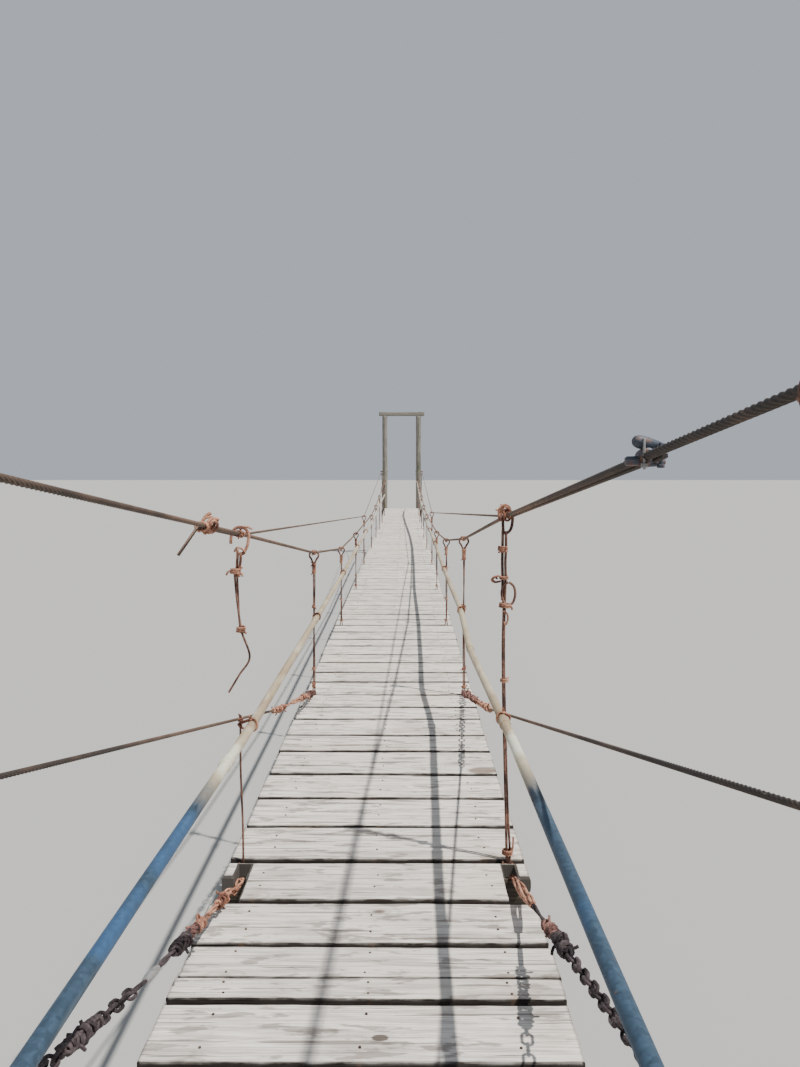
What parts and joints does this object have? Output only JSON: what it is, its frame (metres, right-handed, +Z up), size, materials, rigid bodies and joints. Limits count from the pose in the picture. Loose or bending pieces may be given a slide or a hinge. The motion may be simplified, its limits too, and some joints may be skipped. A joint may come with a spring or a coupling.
{
  "type": "rope suspension footbridge",
  "caption": "Narrow plank footbridge hung by rusty wire hangers from sagging wire ropes over timber post portals, with pipe handrails, chain and rope stays and ground anchors.",
  "frame": {"origin": "ground level midway between the two anchors, on the bridge's centre line", "axes": "+Y along the bridge to the far bank, +X to the right when walking that way, +Z up"},
  "size_m": [1.9, 37.6, 4.8904],
  "materials": {
    "weathered_boards": "silver-grey weathered sawn boards",
    "beam_timber": "dark damp rough-sawn timber",
    "post_timber": "weathered round timber, grey-brown",
    "rusty_wire": "bare wire and chain, fully rusted",
    "wire_rope": "stranded wire rope, dark with rust",
    "clip_steel": "dull blue-grey steel with rust at the edges",
    "galvanised_pipe": "dull galvanised pipe, stained tan",
    "anchor_concrete": "rough grey cast concrete"
  },
  "bodies": {
    "root": {"deck_bay_01": "weathered_boards", "deck_bay_02": "weathered_boards", "deck_bay_03": "weathered_boards", "deck_bay_04": "weathered_boards", "deck_bay_05": "weathered_boards", "deck_bay_06": "weathered_boards", "deck_bay_07": "weathered_boards", "deck_bay_08": "weathered_boards", "deck_bay_09": "weathered_boards", "deck_bay_10": "weathered_boards", "deck_bay_11": "weathered_boards", "deck_bay_12": "weathered_boards", "stirrup_01": "rusty_wire", "stirrup_02": "rusty_wire", "stirrup_03": "rusty_wire", "stirrup_04": "rusty_wire", "stirrup_05": "rusty_wire", "stirrup_06": "rusty_wire", "stirrup_07": "rusty_wire", "stirrup_08": "rusty_wire", "stirrup_09": "rusty_wire", "stirrup_10": "rusty_wire", "stirrup_11": "rusty_wire", "post_near_left": "post_timber", "post_near_right": "post_timber", "header_near": "post_timber", "sill_near": "beam_timber", "anchor_near": "anchor_concrete", "post_far_left": "post_timber", "post_far_right": "post_timber", "header_far": "post_timber", "sill_far": "beam_timber", "anchor_far": "anchor_concrete", "main_rope_left": "wire_rope", "second_rope_left": "wire_rope", "handrail_left": "galvanised_pipe", "chain_stay_left": "rusty_wire", "rope_stay_left": "wire_rope", "main_rope_right": "wire_rope", "second_rope_right": "wire_rope", "handrail_right": "galvanised_pipe", "chain_stay_right": "rusty_wire", "rope_stay_right": "wire_rope", "hanger_broken_left": "rusty_wire", "rope_clip_right": "clip_steel", "rope_lashing_left": "rusty_wire"}
  },
  "joints": []
}
